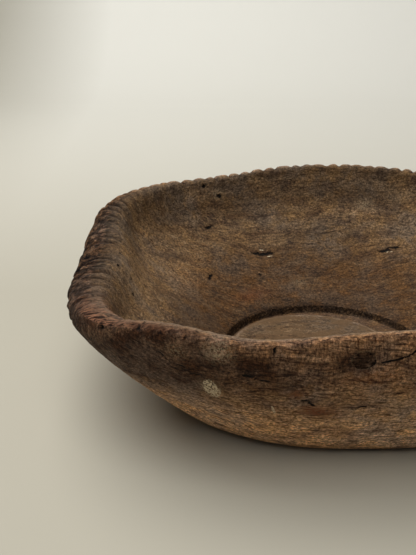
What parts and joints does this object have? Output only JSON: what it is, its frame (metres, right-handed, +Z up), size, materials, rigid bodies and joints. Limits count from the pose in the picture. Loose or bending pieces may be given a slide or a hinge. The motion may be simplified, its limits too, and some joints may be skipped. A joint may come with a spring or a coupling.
{
  "type": "dough bowl",
  "caption": "Squarish oval wooden dough bowl carved from one log, with a notched wavy rim, thick end-grain ends and a round recess in the floor.",
  "frame": {"origin": "centre of the flat base, on the surface the bowl stands on", "axes": "+Z up, +X along the grain and the bowl's length, -Y towards the front wall with the knot"},
  "size_m": [0.4803, 0.436, 0.1456],
  "materials": {
    "bowl_wood": "aged matte, hand-carved",
    "knot_wood": "dark dead knot, matte"
  },
  "bodies": {
    "root": {"bowl_body": "bowl_wood", "dead_knot": "knot_wood"}
  },
  "joints": []
}
